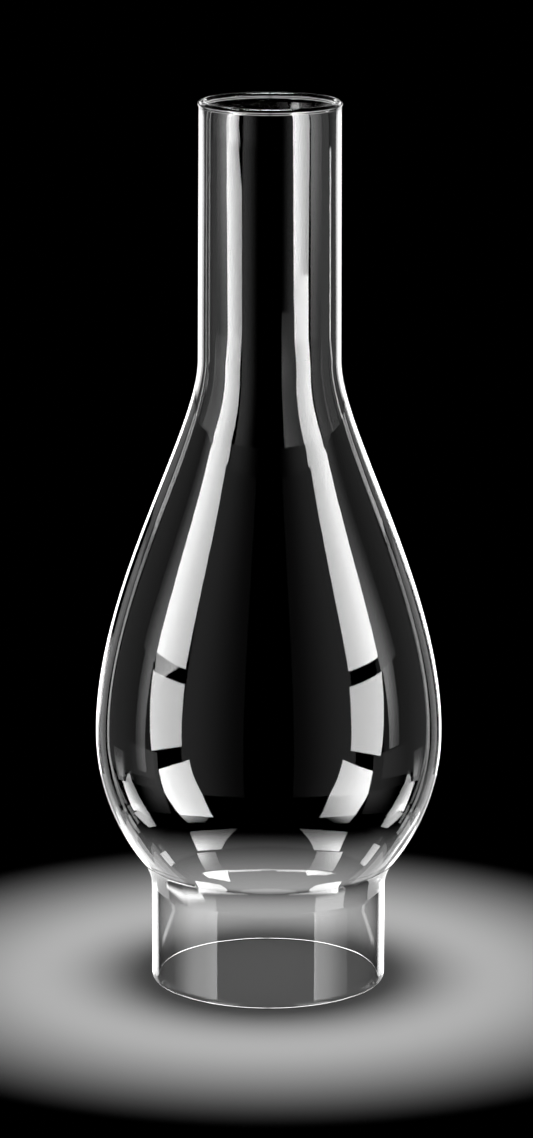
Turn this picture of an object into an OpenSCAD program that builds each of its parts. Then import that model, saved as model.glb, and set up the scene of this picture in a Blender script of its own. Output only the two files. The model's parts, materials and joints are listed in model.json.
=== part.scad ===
// Clear glass chimney for a flat-wick oil lamp, blown in one piece.
// The fitter stands in the burner's gallery, the bulb gives the flame room and the stack draws the air.
// The whole glass is one wall turned about its axis. It is drawn as its outside line, foot to rim,
// and the inside line follows that at the thickness the glass has there.
// Origin: on the axis, in the plane of the foot. +Z points up the axis. Millimetres.

/* [Overall] */
// Height of the chimney, from the foot to the top of the rim
overall_h = 252; // [230:0.5:290]

/* [Fitter] */
// Outside diameter of the fitter, the straight band that stands in the burner's gallery
fitter_d = 66.7; // [60:0.1:72]
// Height of the fitter, from the foot to where the shoulder starts to widen
fitter_h = 26.4; // [20:0.1:32]
// Wall of the fitter
fitter_wall = 1.65; // [1.3:0.05:2.2]
// Radius of the melted edges on both sides of the ground foot
foot_edge_r = 0.5; // [0.2:0.05:0.6]

/* [Bulb] */
// Outside diameter of the bulb at its widest
bulb_d = 98.2; // [90:0.1:108]
// Height of the widest place above the foot
bulb_z = 72; // [64:0.5:82]
// Wall of the bulb at its widest, where the glass is blown thinnest
bulb_wall = 0.9; // [0.7:0.05:1.3]
// Radius of the hollow shoulder that joins the fitter to the bulb
shoulder_r = 14; // [6:0.5:18]
// How far above its widest place the bulb keeps its fullness
bulb_reach = 41.7; // [34:0.1:48]

/* [Stack] */
// Outside diameter of the stack just under the rim
stack_d = 39.4; // [35:0.1:44]
// How much wider the stack is at its lower end
stack_taper = 0.6; // [0:0.1:1.5]
// Length of the straight stack, from its lower end to the top of the rim
stack_h = 72.6; // [60:0.1:84]
// Wall of the stack
stack_wall = 1.4; // [1.1:0.05:1.8]
// How far below the stack the hollow neck reaches
neck_reach = 20.3; // [14:0.1:26]

/* [Rim] */
// How much thicker the melted bead on the rim is than the stack's wall
rim_swell = 0.4; // [0.35:0.05:0.8]
// How far the bead stands out from the outside of the stack
rim_stand = 0.3; // [0:0.05:0.35]

/* [Hidden] */

glass_colour = [0.86, 0.92, 0.93, 0.35];

fitter_r = fitter_d / 2;
bulb_r = bulb_d / 2;
stack_top_r = stack_d / 2;
stack_foot_r = stack_top_r + stack_taper / 2;
stack_foot_z = overall_h - stack_h;

// The underside of the bulb is one arc, upright at the widest place, that runs into the shoulder's arc.
arc_over = bulb_r - fitter_r - shoulder_r;
arc_rise = bulb_z - fitter_h;
bulb_arc_r = (arc_over ^ 2 + arc_rise ^ 2 - shoulder_r ^ 2) / (2 * (bulb_r - fitter_r));
// How far the wall leans out from upright where those two arcs meet
shoulder_lean = asin(arc_rise / (bulb_arc_r + shoulder_r));

// The bead on the rim
rim_bead = stack_wall + rim_swell;
rim_z = overall_h - rim_bead / 2;
rim_r = stack_top_r + rim_stand - rim_bead / 2;

shoulder_steps = 10;
bulb_arc_steps = 18;
neck_steps = 48;
edge_steps = 4;
turn_steps = 180;
bead_steps = 48;

// 0 at t = 0 and 1 at t = 1, level at both ends
function ease(t) = t * t * (3 - 2 * t);

// Thickness of the glass at height z. It is thickest in the fitter, thinnest at the widest place of the
// bulb, and grows again to the stack's wall.
function wall_at(z) =
    z <= fitter_h ? fitter_wall
  : z <= bulb_z ? fitter_wall + (bulb_wall - fitter_wall) * ease((z - fitter_h) / (bulb_z - fitter_h))
  : z <= stack_foot_z ? bulb_wall + (stack_wall - bulb_wall) * ease((z - bulb_z) / (stack_foot_z - bulb_z))
  : stack_wall;

// The outside line is a list of [radius, height, lean]. Lean is the wall's angle from upright, positive
// where the glass widens upwards.

// The hollow shoulder, from upright at the top of the fitter to where it leans the most
shoulder_line = [
    for (i = [0:shoulder_steps])
        let (lean = shoulder_lean * i / shoulder_steps)
            [fitter_r + shoulder_r * (1 - cos(lean)), fitter_h + shoulder_r * sin(lean), lean]
];

// The underside of the bulb, from the shoulder to the widest place
underside_line = [
    for (i = [1:bulb_arc_steps])
        let (lean = shoulder_lean * (1 - i / bulb_arc_steps))
            [bulb_r - bulb_arc_r * (1 - cos(lean)), bulb_z - bulb_arc_r * sin(lean), lean]
];

// The long curve from the widest place up into the stack. It is one cubic curve, upright at its lower end
// and in line with the stack at its upper end.
neck_lean = atan2(-stack_taper / 2, stack_h);
neck_poles = [
    [bulb_r, bulb_z],
    [bulb_r, bulb_z + bulb_reach],
    [stack_foot_r - neck_reach * sin(neck_lean), stack_foot_z - neck_reach * cos(neck_lean)],
    [stack_foot_r, stack_foot_z]
];
function cubic(p, t) =
    (1 - t) ^ 3 * p[0] + 3 * (1 - t) ^ 2 * t * p[1] + 3 * (1 - t) * t ^ 2 * p[2] + t ^ 3 * p[3];
function cubic_slope(p, t) =
    3 * (1 - t) ^ 2 * (p[1] - p[0]) + 6 * (1 - t) * t * (p[2] - p[1]) + 3 * t ^ 2 * (p[3] - p[2]);
neck_line = [
    for (i = [1:neck_steps])
        let (t = i / neck_steps, at = cubic(neck_poles, t), slope = cubic_slope(neck_poles, t))
            [at[0], at[1], atan2(slope[0], slope[1])]
];

// The stack ends in the middle of the bead.
rim_line = [[stack_top_r, rim_z, neck_lean]];

body_line = concat(shoulder_line, underside_line, neck_line, rim_line);

// The point on the inside of the glass opposite a point of the outside line
function inside(p) = [p[0] - wall_at(p[1]) * cos(p[2]), p[1] + wall_at(p[1]) * sin(p[2])];

// A quarter round of the foot, from one angle to another, about a centre at radius r. The two rounds leave
// a ground ring between them, which the chimney stands on.
function foot_round(r, from, to) = [
    for (i = [0:edge_steps])
        let (a = from + (to - from) * i / edge_steps)
            [r + foot_edge_r * cos(a), foot_edge_r + foot_edge_r * sin(a)]
];

module wall_section() {
    outside = [for (p = body_line) [p[0], p[1]]];
    back_down = [for (i = [len(body_line) - 1:-1:0]) inside(body_line[i])];
    foot_inner = foot_round(fitter_r - fitter_wall + foot_edge_r, 180, 270);
    foot_outer = foot_round(fitter_r - foot_edge_r, 270, 360);
    polygon(concat(outside, back_down, foot_inner, foot_outer));
}

module glass_chimney() {
    color(glass_colour)
        rotate_extrude($fn = turn_steps) {
            wall_section();
            translate([rim_r, rim_z]) circle(d = rim_bead, $fn = bead_steps);
        }
}

glass_chimney();
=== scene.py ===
import json
import math

import bpy
import numpy as np
from mathutils import Matrix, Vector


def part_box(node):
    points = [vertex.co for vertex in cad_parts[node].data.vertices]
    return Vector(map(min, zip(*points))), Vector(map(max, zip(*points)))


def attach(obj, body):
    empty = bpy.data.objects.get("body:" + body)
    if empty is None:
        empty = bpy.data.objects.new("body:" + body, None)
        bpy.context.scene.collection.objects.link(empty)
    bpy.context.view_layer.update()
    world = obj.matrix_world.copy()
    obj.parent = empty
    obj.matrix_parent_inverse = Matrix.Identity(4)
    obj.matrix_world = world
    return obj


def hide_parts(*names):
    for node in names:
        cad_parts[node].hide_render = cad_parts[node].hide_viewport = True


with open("model.json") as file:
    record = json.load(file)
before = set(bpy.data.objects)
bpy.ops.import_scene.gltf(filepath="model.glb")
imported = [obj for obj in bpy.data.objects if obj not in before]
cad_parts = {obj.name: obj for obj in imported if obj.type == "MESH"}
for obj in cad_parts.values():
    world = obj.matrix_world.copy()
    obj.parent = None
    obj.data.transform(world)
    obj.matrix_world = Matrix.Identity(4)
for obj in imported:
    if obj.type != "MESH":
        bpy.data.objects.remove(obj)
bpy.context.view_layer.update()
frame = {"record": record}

MM = 0.001


# ---------------------------------------------------------------- sizes, in metres, worked out from the frame
def mount(name):
    """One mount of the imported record."""
    return next(m for m in frame["record"]["mounts"] if m["name"] == name)


node_low, node_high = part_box("glass_chimney")
OVERALL_H = node_high.z - node_low.z
BULB_R = (node_high.x - node_low.x) / 2
FITTER_R = mount("fitter_outside")["dims"]["r_mm"] * MM
FITTER_WALL = FITTER_R - mount("fitter_inside")["dims"]["r_mm"] * MM

# The sizes below are the source's own, because no box or mount gives them.
FITTER_H = 26.4 * MM
FOOT_EDGE_R = 0.5 * MM
BULB_Z = 72 * MM
BULB_WALL = 0.9 * MM
SHOULDER_R = 14 * MM
BULB_REACH = 41.7 * MM
STACK_TOP_R = 19.7 * MM
STACK_FLARE = 0.3 * MM
STACK_H = 72.6 * MM
STACK_WALL = 1.4 * MM
NECK_REACH = 20.3 * MM
RIM_SWELL = 0.4 * MM
RIM_STAND = 0.3 * MM

STACK_FOOT_Z = OVERALL_H - STACK_H
# The rim's bead is round. Its centre is given by radius and height.
BEAD_R = (STACK_WALL + RIM_SWELL) / 2
BEAD_CENTRE = (STACK_TOP_R + RIM_STAND - BEAD_R, OVERALL_H - BEAD_R)
# The bead stands free of the stack's wall between these angles, in degrees.
BEAD_START = -50
BEAD_END = 230
# The straight stack ends just under the bead.
STACK_END_Z = OVERALL_H - 2.1 * BEAD_R

# How finely each stretch of the wall is drawn
FITTER_STEPS = 14
SHOULDER_STEPS = 16
UNDERSIDE_STEPS = 40
NECK_STEPS = 90
STACK_STEPS = 30
BEAD_STEPS = 20
FOOT_STEPS = 5
TURNS = 256


# ---------------------------------------------------------------- the glass
def ease(t):
    """0 at t = 0 and 1 at t = 1, level at both ends."""
    return t * t * (3 - 2 * t)


def wall_at(z):
    """Thickness of the glass at height z."""
    if z <= FITTER_H:
        return FITTER_WALL
    if z <= BULB_Z:
        return FITTER_WALL + (BULB_WALL - FITTER_WALL) * ease((z - FITTER_H) / (BULB_Z - FITTER_H))
    if z <= STACK_FOOT_Z:
        return BULB_WALL + (STACK_WALL - BULB_WALL) * ease((z - BULB_Z) / (STACK_FOOT_Z - BULB_Z))
    return STACK_WALL


def lower_line():
    """The outside of the fitter, the shoulder and the bulb's underside: rows of radius, height and lean."""
    over = BULB_R - FITTER_R - SHOULDER_R
    rise = BULB_Z - FITTER_H
    arc_r = (over ** 2 + rise ** 2 - SHOULDER_R ** 2) / (2 * (BULB_R - FITTER_R))
    lean_most = math.asin(rise / (arc_r + SHOULDER_R))
    line = [(FITTER_R, z, 0.0) for z in np.linspace(FOOT_EDGE_R, FITTER_H, FITTER_STEPS, endpoint=False)]
    for lean in np.linspace(0, lean_most, SHOULDER_STEPS, endpoint=False):
        r = FITTER_R + SHOULDER_R * (1 - math.cos(lean))
        line.append((r, FITTER_H + SHOULDER_R * math.sin(lean), lean))
    for lean in np.linspace(lean_most, 0, UNDERSIDE_STEPS, endpoint=False):
        line.append((BULB_R - arc_r * (1 - math.cos(lean)), BULB_Z - arc_r * math.sin(lean), lean))
    return line


def upper_line():
    """The outside of the neck and the stack: rows of radius, height and lean."""
    stack_foot_r = STACK_TOP_R + STACK_FLARE
    stack_lean = math.atan2(-STACK_FLARE, STACK_H)
    poles = np.array([
        (BULB_R, BULB_Z),
        (BULB_R, BULB_Z + BULB_REACH),
        (stack_foot_r - NECK_REACH * math.sin(stack_lean), STACK_FOOT_Z - NECK_REACH * math.cos(stack_lean)),
        (stack_foot_r, STACK_FOOT_Z)])
    line = []
    for t in np.linspace(0, 1, NECK_STEPS, endpoint=False):
        r, z = (1 - t) ** 3 * poles[0] + 3 * (1 - t) ** 2 * t * poles[1] \
            + 3 * (1 - t) * t ** 2 * poles[2] + t ** 3 * poles[3]
        dr, dz = (1 - t) ** 2 * (poles[1] - poles[0]) + 2 * (1 - t) * t * (poles[2] - poles[1]) \
            + t ** 2 * (poles[3] - poles[2])
        line.append((r, z, math.atan2(dr, dz)))
    for t in np.linspace(0, 1, STACK_STEPS):
        z = STACK_FOOT_Z + t * (STACK_END_Z - STACK_FOOT_Z)
        line.append((stack_foot_r - STACK_FLARE * t, z, stack_lean))
    return line


def arc(centre, radius, start, end, steps):
    """Points of an arc about centre, angles in degrees, the first and last left out."""
    turns = np.radians(np.linspace(start, end, steps + 1)[1:-1])
    return [(centre[0] + radius * math.cos(a), centre[1] + radius * math.sin(a)) for a in turns]


def section():
    """The closed outline of the wall, and for each point 1 on the inside of the wall and 0 elsewhere."""
    line = lower_line() + upper_line()
    outer = [(r, z) for r, z, lean in line]
    inner = [(r - wall_at(z) * math.cos(lean), z + wall_at(z) * math.sin(lean)) for r, z, lean in line]
    rim = arc(BEAD_CENTRE, BEAD_R, BEAD_START, BEAD_END, BEAD_STEPS)
    foot_in = FITTER_R - FITTER_WALL + FOOT_EDGE_R
    foot_out = FITTER_R - FOOT_EDGE_R
    foot = [(foot_in - FOOT_EDGE_R, FOOT_EDGE_R)]
    foot += arc((foot_in, FOOT_EDGE_R), FOOT_EDGE_R, 180, 270, FOOT_STEPS)
    foot += [(foot_in, 0.0), (foot_out, 0.0)]
    foot += arc((foot_out, FOOT_EDGE_R), FOOT_EDGE_R, 270, 360, FOOT_STEPS)
    points = outer + rim + inner[:0:-1] + foot
    inside = [0.0] * len(outer + rim) + [1.0] * (len(inner) - 1) + [0.0] * len(foot)
    return np.array(points), np.array(inside)


def blown_wave(a, z):
    """How far the inside of the wall stands off its round line at angle a and height z, as a share of the
    radius. Glass that is blown and turned keeps such long, shallow waves on its inside. The long ones go two
    and three times round, the drawn ones more often. They die out towards the foot and the rim."""
    long_wave = 0.0010 * np.sin(2 * a + 0.7 + z / 0.055) + 0.0006 * np.sin(3 * a - 1.1 - z / 0.034)
    drawn = 0.0003 * np.sin(11 * a + 2.0 * np.sin(z / 0.040)) + 0.0002 * np.sin(17 * a - z / 0.090)
    fade = np.clip(z / FITTER_H, 0, 1) * np.clip((OVERALL_H - z) / FITTER_H, 0, 1)
    return (long_wave + drawn) * fade


def glass_mesh(name):
    """The wall's section, turned about the axis."""
    points, inside = section()
    n = len(points)
    r = np.repeat(points[None, :, 0], TURNS, 0)
    z = np.repeat(points[None, :, 1], TURNS, 0)
    a = np.linspace(0, 2 * np.pi, TURNS, endpoint=False)[:, None]
    r = r * (1 + inside[None, :] * blown_wave(a, z))
    corners = np.stack([r * np.cos(a), r * np.sin(a), z], -1).reshape(-1, 3)
    turn, step = np.meshgrid(np.arange(TURNS), np.arange(n), indexing="ij")
    next_turn = (turn + 1) % TURNS
    next_step = (step + 1) % n
    faces = np.stack([turn * n + step, next_turn * n + step,
                      next_turn * n + next_step, turn * n + next_step], -1).reshape(-1, 4)
    mesh = bpy.data.meshes.new(name)
    mesh.from_pydata(corners.tolist(), [], faces.tolist())
    mesh.polygons.foreach_set("use_smooth", [True] * len(faces))
    mesh.update()
    obj = bpy.data.objects.new(name, mesh)
    bpy.context.scene.collection.objects.link(obj)
    return obj


def glass_material():
    """Clear glass without a tint."""
    mat = bpy.data.materials.new("clear_glass")
    mat.use_nodes = True
    shader = mat.node_tree.nodes["Principled BSDF"]
    shader.inputs["Base Color"].default_value = (1, 1, 1, 1)
    shader.inputs["Roughness"].default_value = 0.0
    shader.inputs["IOR"].default_value = 1.5
    shader.inputs["Transmission Weight"].default_value = 1.0
    return mat


glass = glass_mesh("chimney_glass")
glass.data.materials.append(glass_material())
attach(glass, "root")
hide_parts("glass_chimney")


# ---------------------------------------------------------------- node helpers
def calc(tree, operation, *values):
    """One Math node. Each value is a number or an output socket."""
    node = tree.nodes.new("ShaderNodeMath")
    node.operation = operation
    for socket, value in zip(node.inputs, values):
        if isinstance(value, (int, float)):
            socket.default_value = value
        else:
            tree.links.new(value, socket)
    return node.outputs[0]


def ramp(tree, value, start, end, low, high):
    """Map Range: low up to start, high from end on, and a smooth step between."""
    node = tree.nodes.new("ShaderNodeMapRange")
    node.interpolation_type = "SMOOTHSTEP"
    node.inputs["From Min"].default_value = start
    node.inputs["From Max"].default_value = end
    node.inputs["To Min"].default_value = low
    node.inputs["To Max"].default_value = high
    tree.links.new(value, node.inputs["Value"])
    return node.outputs["Result"]


def window(tree, value, soft):
    """1 where the value is from 0 to 1, and 0 outside, with soft edges."""
    rise = ramp(tree, value, -soft / 2, soft / 2, 0.0, 1.0)
    fall = ramp(tree, value, 1 - soft / 2, 1 + soft / 2, 1.0, 0.0)
    return calc(tree, "MULTIPLY", rise, fall)


# ---------------------------------------------------------------- light paths
# What a ray has met on its way from the camera. Each function gives 1 for the rays it names and 0 for others.
def path(tree, output):
    return tree.nodes.new("ShaderNodeLightPath").outputs[output]


def none_yet(tree, depth):
    """Rays for which a depth of the light path is still 0."""
    return calc(tree, "LESS_THAN", path(tree, depth), 0.5)


def only_glass(tree):
    """Rays that have met the glass and nothing else."""
    met = calc(tree, "ADD", path(tree, "Glossy Depth"), path(tree, "Transmission Depth"))
    some = calc(tree, "GREATER_THAN", met, 0.5)
    return calc(tree, "MULTIPLY", some, none_yet(tree, "Diffuse Depth"))


def mirrored(tree):
    """Rays that the glass has reflected at least once."""
    reflected = calc(tree, "GREATER_THAN", path(tree, "Glossy Depth"), 0.5)
    return calc(tree, "MULTIPLY", only_glass(tree), reflected)


def near_wall(tree):
    """Rays that the wall in front has reflected, at either of its faces, and those that the far wall has
    reflected inside the mouth. The last thing that happened to one is the reflection at the outer face, or
    the way out of the glass. It has passed through two faces at most."""
    few = calc(tree, "LESS_THAN", path(tree, "Transmission Depth"), 2.5)
    outer = none_yet(tree, "Transmission Depth")
    outside = calc(tree, "MAXIMUM", outer, path(tree, "Is Transmission Ray"))
    return calc(tree, "MULTIPLY", mirrored(tree), calc(tree, "MULTIPLY", few, outside))


def refracted(tree):
    """Rays that the glass has bent and never reflected."""
    return calc(tree, "MULTIPLY", only_glass(tree), none_yet(tree, "Glossy Depth"))


# ---------------------------------------------------------------- floor
FLOOR_R = 0.13
# Just under the foot, so that the two faces don't touch
FLOOR_Z = -0.2 * MM
FLOOR_STEPS = 128
# How pale it is in the middle, and how far from the axis the painted pool of light starts to fade
FLOOR_PALE = 0.60
POOL_FADE_FROM = 0.045


def floor():
    """A pale round floor whose colour fades into the dark, a painted pool of light. Rays that the glass has
    reflected pass through it, so that they can meet the screens that stand below."""
    bpy.ops.mesh.primitive_circle_add(vertices=FLOOR_STEPS, radius=FLOOR_R, fill_type="NGON",
                                      location=(0, 0, FLOOR_Z))
    plane = bpy.context.object
    plane.name = "floor"
    mat = bpy.data.materials.new("floor")
    mat.use_nodes = True
    tree = mat.node_tree
    shader = tree.nodes["Principled BSDF"]
    out = tree.nodes["Material Output"]
    coord = tree.nodes.new("ShaderNodeTexCoord")
    length = tree.nodes.new("ShaderNodeVectorMath")
    length.operation = "LENGTH"
    tree.links.new(coord.outputs["Object"], length.inputs[0])
    # The painted pool of light: the floor's colour goes from pale in the middle to black at the edge.
    painted_pool_colour = ramp(tree, length.outputs["Value"], POOL_FADE_FROM, FLOOR_R, FLOOR_PALE, 0.0)
    tree.links.new(painted_pool_colour, shader.inputs["Base Color"])
    shader.inputs["Roughness"].default_value = 0.9
    shader.inputs["Specular IOR Level"].default_value = 0.0
    clear = tree.nodes.new("ShaderNodeBsdfTransparent")
    mix = tree.nodes.new("ShaderNodeMixShader")
    tree.links.new(mirrored(tree), mix.inputs[0])
    tree.links.new(shader.outputs[0], mix.inputs[1])
    tree.links.new(clear.outputs[0], mix.inputs[2])
    tree.links.new(mix.outputs[0], out.inputs["Surface"])
    plane.data.materials.append(mat)


floor()


# ---------------------------------------------------------------- light
# The glass's highlights and reflections are painted as glows on round screens about the axis, in place of
# studio panels. Only chosen rays see them, and they light nothing. A glow has four corners, in the order low
# start, low end, high end, high start. Each is an azimuth in degrees from the camera's side, and a height in
# millimetres. The azimuth counts to the left, to the right, or both ways. Then come the glow's levels at its
# start and its end, and where it changes upwards, what its level is multiplied by at its low and its high
# edge.

# How soft the edges of a glow are, in degrees and in millimetres
SOFT_ACROSS = 0.8
SOFT_UP = 1.5
# The azimuths between which the inner face of the wall comes in, and what the outer face shows before that
FRONT_END = 95
BACK_START = 115
BOTH_FACES = 1.9
# What the outer face loses and the inner face gains at the mouth, where the far wall's painted highlight
# shows, up to which azimuth, and how softly
MOUTH_LOSS = 0.7
MOUTH_GAIN = 1.3
MOUTH_END = 92
MOUTH_SOFT = 0.4

SCREEN_STEPS = 120
DISC_STEPS = 96


def box(start, end, low, high):
    """The corners of a glow with upright and level edges."""
    return ((start, low), (end, low), (end, high), (start, high))


def edge(tree, along, first, last):
    """The straight line through two points, as a value that changes along a socket."""
    slope = (last[1] - first[1]) / (last[0] - first[0])
    return calc(tree, "MULTIPLY_ADD", along, slope, first[1] - slope * first[0])


def share(tree, value, low, high):
    """How far the value is from low to high, as a share of the way."""
    return calc(tree, "DIVIDE", calc(tree, "SUBTRACT", value, low), calc(tree, "SUBTRACT", high, low))


def glow(tree, azimuth, height, way, corners, levels, upward=(1.0, 1.0)):
    """A glow with soft edges. Its level goes from start to end, times upward from low to high."""
    if way == "both":
        side = calc(tree, "ABSOLUTE", azimuth)
    else:
        side = calc(tree, "MULTIPLY", azimuth, 1.0 if way == "right" else -1.0)
    low_start, low_end, high_end, high_start = corners
    start = edge(tree, height, low_start[::-1], high_start[::-1])
    end = edge(tree, height, low_end[::-1], high_end[::-1])
    low = edge(tree, side, low_start, low_end)
    high = edge(tree, side, high_start, high_end)
    across = share(tree, side, start, end)
    up = share(tree, height, low, high)
    inside = calc(tree, "MULTIPLY", window(tree, across, SOFT_ACROSS / (low_end[0] - low_start[0])),
                  window(tree, up, SOFT_UP / (high_start[1] - low_start[1])))
    level = calc(tree, "MULTIPLY", ramp(tree, across, 0.0, 1.0, *levels), ramp(tree, up, 0.0, 1.0, *upward))
    return calc(tree, "MULTIPLY", inside, level)


def face_share(tree, azimuth, height, mouth):
    """How strongly a glow shows at each face of the wall. The two faces are not quite parallel, so each shows
    the glow in another place. In front only the outer face shows it, at the strength of both. Far to the
    sides and behind, both faces show it. Mouth is a pair of heights. Between them, on the left, the inner
    face shows the glow too, and so does the far wall inside the mouth, whose rays arrive there."""
    outer = none_yet(tree, "Transmission Depth")
    inner = calc(tree, "SUBTRACT", 1.0, outer)
    side = calc(tree, "ABSOLUTE", azimuth)
    outer_part = ramp(tree, side, FRONT_END, BACK_START, BOTH_FACES, 1.0)
    inner_part = ramp(tree, side, FRONT_END, BACK_START, 0.0, 1.0)
    if mouth:
        between = window(tree, share(tree, height, *mouth), MOUTH_SOFT)
        on_left = calc(tree, "LESS_THAN", azimuth, 0.0)
        in_front = calc(tree, "LESS_THAN", side, MOUTH_END)
        at_mouth = calc(tree, "MULTIPLY", calc(tree, "MULTIPLY", between, on_left), in_front)
        outer_part = calc(tree, "SUBTRACT", outer_part, calc(tree, "MULTIPLY", at_mouth, MOUTH_LOSS))
        inner_part = calc(tree, "ADD", inner_part, calc(tree, "MULTIPLY", at_mouth, MOUTH_GAIN))
    outer_part = calc(tree, "MULTIPLY", outer, outer_part)
    inner_part = calc(tree, "MULTIPLY", inner, inner_part)
    return calc(tree, "ADD", outer_part, inner_part)


def screen_material(name, glows, seen_by, flat=False, mouth=None):
    """The glows on a screen. On a flat one the height is the distance from the axis. The rays that see a
    screen see nothing behind it, and the other rays pass through it."""
    mat = bpy.data.materials.new(name)
    mat.use_nodes = True
    mat.cycles.emission_sampling = "NONE"
    tree = mat.node_tree
    tree.nodes.clear()
    out = tree.nodes.new("ShaderNodeOutputMaterial")
    emit = tree.nodes.new("ShaderNodeEmission")
    clear = tree.nodes.new("ShaderNodeBsdfTransparent")
    mix = tree.nodes.new("ShaderNodeMixShader")
    coord = tree.nodes.new("ShaderNodeTexCoord")
    split = tree.nodes.new("ShaderNodeSeparateXYZ")
    tree.links.new(coord.outputs["Object"], split.inputs[0])
    x, y, z = split.outputs
    azimuth = calc(tree, "DEGREES", calc(tree, "ARCTAN2", x, calc(tree, "MULTIPLY", y, -1.0)))
    if flat:
        away = tree.nodes.new("ShaderNodeVectorMath")
        away.operation = "LENGTH"
        tree.links.new(coord.outputs["Object"], away.inputs[0])
        height = calc(tree, "DIVIDE", away.outputs["Value"], MM)
    else:
        height = calc(tree, "DIVIDE", z, MM)
    total = 0.0
    for one in glows:
        total = calc(tree, "ADD", glow(tree, azimuth, height, *one), total)
    # A ray that the wall has reflected comes from one of its faces.
    if seen_by is near_wall:
        total = calc(tree, "MULTIPLY", total, face_share(tree, azimuth, height, mouth))
    tree.links.new(total, emit.inputs["Strength"])
    tree.links.new(seen_by(tree), mix.inputs[0])
    tree.links.new(clear.outputs[0], mix.inputs[1])
    tree.links.new(emit.outputs[0], mix.inputs[2])
    tree.links.new(mix.outputs[0], out.inputs["Surface"])
    return mat


def screen(name, distance, low, high, glows, seen_by, dip=0.0, mouth=None):
    """An upright round screen about the axis. Its low edge dips towards the back. Millimetres."""
    turns = np.linspace(0, 2 * math.pi, SCREEN_STEPS, endpoint=False)
    ring = [(distance * math.sin(a), -distance * math.cos(a), low - dip * (1 - math.cos(a))) for a in turns]
    points = [(x * MM, y * MM, z * MM) for x, y, z in ring + [(x, y, high) for x, y, z in ring]]
    last = SCREEN_STEPS - 1
    quads = [(i, i + 1, SCREEN_STEPS + i + 1, SCREEN_STEPS + i) for i in range(last)]
    faces = quads + [(last, 0, SCREEN_STEPS, SCREEN_STEPS + last)]
    mesh = bpy.data.meshes.new(name)
    mesh.from_pydata(points, [], faces)
    mesh.materials.append(screen_material(name, glows, seen_by, mouth=mouth))
    obj = bpy.data.objects.new(name, mesh)
    bpy.context.scene.collection.objects.link(obj)


def disc(name, height, radius, glows, seen_by):
    """A level round screen about the axis. Millimetres."""
    bpy.ops.mesh.primitive_circle_add(vertices=DISC_STEPS, radius=radius * MM, fill_type="NGON",
                                      location=(0, 0, height * MM))
    obj = bpy.context.object
    obj.name = name
    obj.data.materials.append(screen_material(name, glows, seen_by, flat=True))


# Painted reflections on the stack and the upper end of the neck. The two heights are where the mouth's rays
# arrive.
screen("stack_screen", 50, 172.4, 257, [
    ("left", ((37.1, 225.2), (60.0, 225.2), (61.2, 247.5), (45.5, 247.5)), (4.5, 11.0)),
    ("left", ((36.3, 183.2), (57.7, 183.2), (60.0, 225.2), (37.1, 225.2)), (4.5, 11.0)),
    ("left", ((40.8, 170.0), (63.5, 170.0), (57.7, 183.2), (36.3, 183.2)), (5.5, 11.0)),
    ("left", ((58.5, 183.2), (78.4, 183.2), (78.4, 247.5), (61.2, 247.5)), (1.5, 0.4), (0.6, 1.4)),
    ("left", ((64.5, 170.0), (84.0, 170.0), (78.4, 183.2), (58.5, 183.2)), (1.1, 0.4)),
    ("left", box(78.4, 92.7, 168, 247.5), (0.25, 0.1)),
    ("left", box(93.3, 96.1, 174, 247.5), (1.1, 1.1)),
    ("left", box(102.3, 105.1, 174, 247.5), (1.2, 1.2)),
    ("left", ((100.0, 165.0), (102.8, 165.0), (105.5, 174.0), (102.7, 174.0)), (2.0, 2.0)),
    ("right", ((31.2, 201.3), (52.6, 201.3), (54.4, 247.5), (30.0, 247.5)), (11.0, 5.0)),
    ("right", ((32.7, 182.3), (52.8, 182.3), (52.6, 201.3), (31.2, 201.3)), (9.0, 11.0)),
    ("right", ((37.0, 170.0), (58.5, 170.0), (52.8, 182.3), (32.7, 182.3)), (7.0, 11.0)),
    ("right", box(56.1, 74.9, 182.3, 247.5), (1.3, 0.5), (0.6, 1.5)),
    ("right", ((60.0, 168.0), (78.0, 168.0), (74.9, 182.3), (56.1, 182.3)), (0.6, 0.3)),
    ("right", box(74.9, 91, 168, 247.5), (0.3, 0.2)),
    ("right", box(93.3, 96.7, 181, 235.5), (3.6, 3.6)),
    ("right", ((98.5, 174.5), (101.5, 174.5), (96.7, 181.0), (93.3, 181.0)), (2.6, 2.6)),
    ("right", box(98.5, 101.5, 165, 174.5), (2.4, 2.4)),
    ("right", box(15.6, 31, 168, 191), (0.9, 0.2), (1.0, 0.3)),
    ("both", box(14.4, 36, 168, 247.5), (0.0, 0.4)),
    ("both", box(73.7, 115.5, 168, 247.5), (0.12, 0.12)),
    ("both", box(118.8, 132.7, 168, 247.5), (0.3, 1.3)),
    ("both", box(132.7, 160, 165, 247.5), (1.3, 1.5)),
    ("both", box(160, 180, 165, 247.5), (0.6, 0.6)),
    ("both", box(164, 176, 165, 247.5), (2.6, 2.6)),
], near_wall, dip=3.5, mouth=(238.2, 247.0))

# Painted reflections on the neck below that.
screen("neck_screen", 70, 175.5, 192, [
    ("left", box(43.6, 67.2, 160, 192), (6.0, 10.5)),
    ("left", box(67.2, 84, 160, 192), (1.3, 0.5)),
    ("right", box(40.8, 63.1, 160, 192), (6.0, 10.5)),
    ("right", box(63.1, 84, 160, 192), (0.5, 0.3)),
    ("both", box(84, 118, 160, 192), (0.35, 0.3)),
    ("both", box(118, 128, 160, 192), (0.35, 0.35)),
    ("both", box(10, 42, 160, 192), (0.0, 0.25)),
    ("both", box(128, 180, 160, 192), (1.2, 1.5)),
], near_wall)
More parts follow.
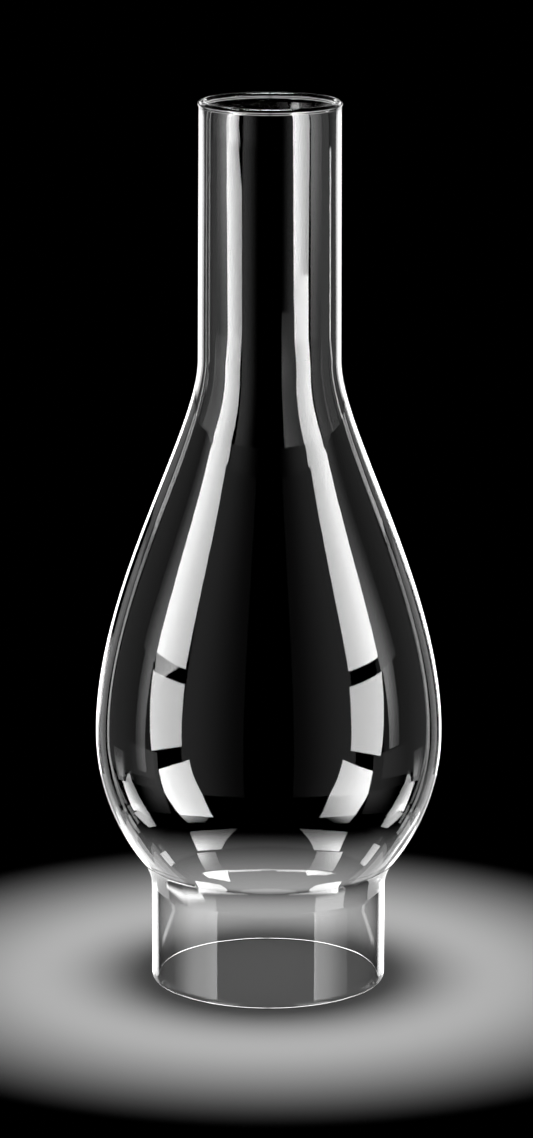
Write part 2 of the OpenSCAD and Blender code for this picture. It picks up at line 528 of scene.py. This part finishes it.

# Painted reflections on the bulb and the fitter: soft boxes with bars across them, and lights behind.
screen("main_screen", 270, -250, 330, [
    ("left", ((56.0, 136), (81.3, 131), (77.8, 300), (52.6, 300)), (6.5, 11.0)),
    ("right", ((53.4, 136), (78.0, 130), (74.0, 300), (49.8, 300)), (6.5, 11.0)),
    ("left", ((72.0, 115.5), (80.0, 115.5), (81.3, 131), (61.0, 135)), (4.5, 3.0)),
    ("left", ((54.0, 46.5), (76.5, 28.5), (81.5, 114.5), (55.2, 121)), (6.0, 7.2)),
    ("right", ((50.8, 43.0), (72.5, 24.0), (78.8, 116), (52.5, 120)), (6.0, 7.2)),
    ("left", ((41.8, -50), (70.5, -50), (71.5, 3), (48.8, 29)), (7.5, 11.5)),
    ("right", ((38.2, -50), (66.7, -50), (67.0, 3), (45.2, 31)), (7.0, 11.5)),
    ("left", ((46.0, -142), (60.5, -142), (66.8, -95), (36.5, -95)), (2.4, 7.0), (0.25, 1.0)),
    ("right", ((48.0, -142), (60.0, -142), (63.8, -95), (30.0, -95)), (0.6, 6.8), (0.25, 1.0)),
    ("left", box(48.5, 66, -92, -49), (3.0, 2.2)),
    ("left", box(66, 100, -92, -49), (2.2, 0.2)),
    ("right", box(43.5, 48, -92, -49), (3.6, 2.4)),
    ("right", box(48, 80, -92, -49), (2.4, 0.4)),
    ("both", ((97, -51.5), (124, -70.0), (124, -67.0), (97, -48.5)), (1.2, 1.5)),
    ("left", ((82.0, -10), (90.0, -10), (92.0, 122), (82.5, 122)), (1.0, 0.2), (0.7, 1.2)),
    ("left", ((81.5, 121.5), (95.0, 121.5), (90.0, 250), (79.0, 250)), (0.8, 0.1), (1.3, 0.7)),
    ("right", ((79.5, 30), (88.0, 30), (90.0, 116), (80.0, 116)), (1.7, 0.4), (0.6, 1.2)),
    ("right", ((78.5, 115.5), (95.0, 115.5), (88.0, 250), (74.8, 250)), (1.2, 0.1), (1.3, 0.3)),
    ("both", box(75, 122, -20, 330), (0.1, 0.1)),
    ("left", box(72, 100, -50, 28), (0.4, 0.0)),
    ("right", box(67, 100, -50, 28), (0.2, 0.0)),
    ("both", box(15, 54, -47, 330), (0.03, 0.22)),
    ("both", ((110.0, -45), (116.0, -45), (116.0, 12), (104.0, 12)), (1.5, 1.2), (1.0, 0.1)),
    ("both", ((98.5, -45), (109.5, -45), (102.0, -22), (100.0, -22)), (2.2, 2.2)),
    ("both", ((93.0, -166), (97.0, -166), (112.0, -97), (93.5, -97)), (2.6, 4.4), (0.6, 1.0)),
    ("both", ((121.0, -45), (124.5, -45), (128.5, 150), (125.5, 150)), (0.8, 1.5)),
    ("both", ((126.3, 150), (130.0, 150), (127.5, 196), (123.5, 196)), (1.6, 2.6)),
    ("both", box(129.5, 142, -45, 128), (0.25, 0.4)),
    ("both", box(119, 124, -250, -95), (1.1, 1.1)),
    ("both", box(128, 155, -250, -95), (0.8, 0.8)),
    ("both", box(138, 155, -95, -45), (0.8, 1.2)),
    ("both", box(152, 180, -250, 330), (0.6, 0.6)),
    ("both", box(152, 168, -250, 330), (2.4, 2.4)),
    ("both", box(132, 152, 128, 330), (0.2, 0.08)),
], near_wall)

# Painted reflections on the bulb that would fall on the fitter's part of the main screen. The fitter looks
# under this.
screen("low_screen", 120, 0, 27.4, [
    ("left", ((33.2, -1), (55.8, -1), (62.9, 30), (36.8, 30)), (7.5, 11.5)),
    ("right", ((30.5, -1), (54.3, -1), (59.4, 30), (33.8, 30)), (5.0, 11.5), (0.65, 1.0)),
    ("left", box(62, 83, -1, 30), (0.4, 0.0), (0.2, 1.0)),
    ("right", box(59, 83, -1, 30), (0.3, 0.0), (0.2, 1.0)),
    ("both", ((82.5, -1), (99.0, -1), (99.0, 30), (87.5, 30)), (1.7, 4.4), (1.3, 0.8)),
    ("both", box(108.5, 113, -1, 30), (0.9, 0.9)),
    ("both", box(118, 140, -1, 30), (0.3, 0.6)),
    ("both", box(140, 180, -1, 30), (1.2, 1.4)),
], near_wall)

# Painted reflections on the underside of the bulb.
disc("under_screen", -50, 156, [
    ("left", ((36, 105), (57, 103.5), (57, 141), (21, 151)), (4.0, 9.0), (1.0, 0.14)),
    ("right", ((35, 104), (57, 103), (57, 141), (21, 151)), (4.0, 8.0), (1.0, 0.22)),
    ("left", ((43, 71), (62, 72), (59, 99.5), (42, 100.5)), (1.5, 5.5), (0.2, 1.0)),
    ("right", ((38, 71), (64, 72), (61, 102), (38, 102)), (2.0, 5.5), (0.35, 1.0)),
    ("left", ((44, 52), (66, 62), (69, 70), (38, 70)), (7.0, 7.5)),
    ("right", ((39, 62), (60, 65), (70, 70), (36, 70)), (8.0, 4.0)),
    ("both", box(7, 38, 66.5, 69.5), (4.0, 5.0)),
    ("both", box(-1, 7, 68, 70), (3.0, 3.0)),
    ("both", ((58, 41), (96, 58), (90, 65), (60, 50)), (4.0, 5.5)),
    ("both", box(-1, 60, 31, 38), (0.8, 0.8)),
    ("left", box(92, 103, 93, 112), (2.6, 2.6)),
    ("right", box(89, 100, 92, 124), (2.2, 2.8)),
    ("both", box(108, 128, 70, 120), (0.7, 0.7)),
    ("both", box(128, 160, 70, 156), (1.0, 1.0)),
], near_wall)

# Painted reflections on the shoulder.
screen("shoulder_screen", 36, 26.4, 33.4, [
    ("left", ((35, 28.0), (50, 26.6), (50, 28.0), (36, 29.0)), (6.5, 6.0)),
    ("left", ((50, 26.6), (66, 27.3), (66, 27.8), (50, 28.0)), (6.0, 3.0)),
    ("left", box(28, 47, 24, 28.5), (2.8, 2.0), (1.2, 0.4)),
    ("right", box(25, 43, 24, 29), (2.6, 2.4)),
    ("both", ((10, 31.0), (38, 29.0), (38, 29.8), (10, 33.4)), (1.5, 6.0)),
    ("both", box(64, 110, 24, 29), (0.9, 0.8)),
    ("both", box(110, 180, 22, 33), (1.2, 1.5)),
], near_wall, dip=1.6)

# Painted light that the rim's bead shows through itself. The foot's rays pass under it.
screen("rim_screen", 300, 258, 380, [
    ("both", box(-1, 180, 262, 282), (0.7, 0.7)),
    ("both", box(-1, 180, 282, 320), (0.25, 0.25)),
], refracted)

# The painted highlight on the top of the rim's bead.
disc("top_screen", 1000, 380, [
    ("both", box(-1, 180, -2, 300), (9.0, 9.0)),
], near_wall)

# Painted light that the round edges of the foot show. It stands too high for any ray that the walls let
# through.
screen("high_screen", 1200, 300, 1200, [
    ("both", box(-1, 180, 298, 400), (3.0, 3.0)),
    ("both", box(-1, 180, 400, 520), (0.5, 0.5)),
], refracted)


# The level of the world, and the lamp's height, size and power
WORLD_LEVEL = 0.15
LAMP_Z = 1.0
LAMP_SIZE = 0.5
LAMP_POWER = 9


def studio_world():
    """A dim white world that lights the floor. The camera and the glass see black in its place."""
    world = bpy.data.worlds.new("world")
    bpy.context.scene.world = world
    world.use_nodes = True
    tree = world.node_tree
    by_glass = calc(tree, "MAXIMUM", path(tree, "Is Glossy Ray"), path(tree, "Is Transmission Ray"))
    by_glass = calc(tree, "MULTIPLY", by_glass, none_yet(tree, "Diffuse Depth"))
    seen = calc(tree, "MAXIMUM", path(tree, "Is Camera Ray"), by_glass)
    strength = calc(tree, "MULTIPLY", calc(tree, "SUBTRACT", 1, seen), WORLD_LEVEL)
    background = tree.nodes["Background"]
    background.inputs["Color"].default_value = (1, 1, 1, 1)
    tree.links.new(strength, background.inputs["Strength"])


studio_world()


def overhead():
    """A soft lamp above, which lights the floor and draws the shadow. The glass doesn't show it."""
    light = bpy.data.lights.new("overhead", "AREA")
    light.shape = "DISK"
    light.size = LAMP_SIZE
    light.energy = LAMP_POWER
    lamp = bpy.data.objects.new("overhead", light)
    lamp.location = (0, 0, LAMP_Z)
    lamp.visible_camera = False
    lamp.visible_glossy = False
    lamp.visible_transmission = False
    bpy.context.scene.collection.objects.link(lamp)


overhead()


# ---------------------------------------------------------------- camera
# Where the camera stands, and how it is turned from level, in radians
CAMERA_DISTANCE = 4.911 * OVERALL_H
CAMERA_HEIGHT = 1.6162 * OVERALL_H
LOOK_DOWN = math.radians(13.098)
LOOK_LEFT = math.radians(0.0336)
ROLL = math.radians(0.13)
# The lens and the sensor, in millimetres
LENS = 142.3
SENSOR = 36


def camera():
    data = bpy.data.cameras.new("camera")
    data.sensor_width = SENSOR
    data.lens = LENS
    cam = bpy.data.objects.new("camera", data)
    cam.location = (0, -CAMERA_DISTANCE, CAMERA_HEIGHT)
    cam.matrix_world = Matrix.Translation(cam.location) @ Matrix.Rotation(LOOK_LEFT, 4, "Z") \
        @ Matrix.Rotation(math.pi / 2 - LOOK_DOWN, 4, "X") @ Matrix.Rotation(ROLL, 4, "Z")
    bpy.context.scene.collection.objects.link(cam)
    bpy.context.scene.camera = cam


camera()

scene = bpy.context.scene
scene.view_settings.view_transform = "Standard"
# Along the edges of the glass a ray meets the wall many times.
scene.cycles.max_bounces = 32
scene.cycles.transmission_bounces = 32
scene.cycles.glossy_bounces = 16

bpy.context.view_layer.update()
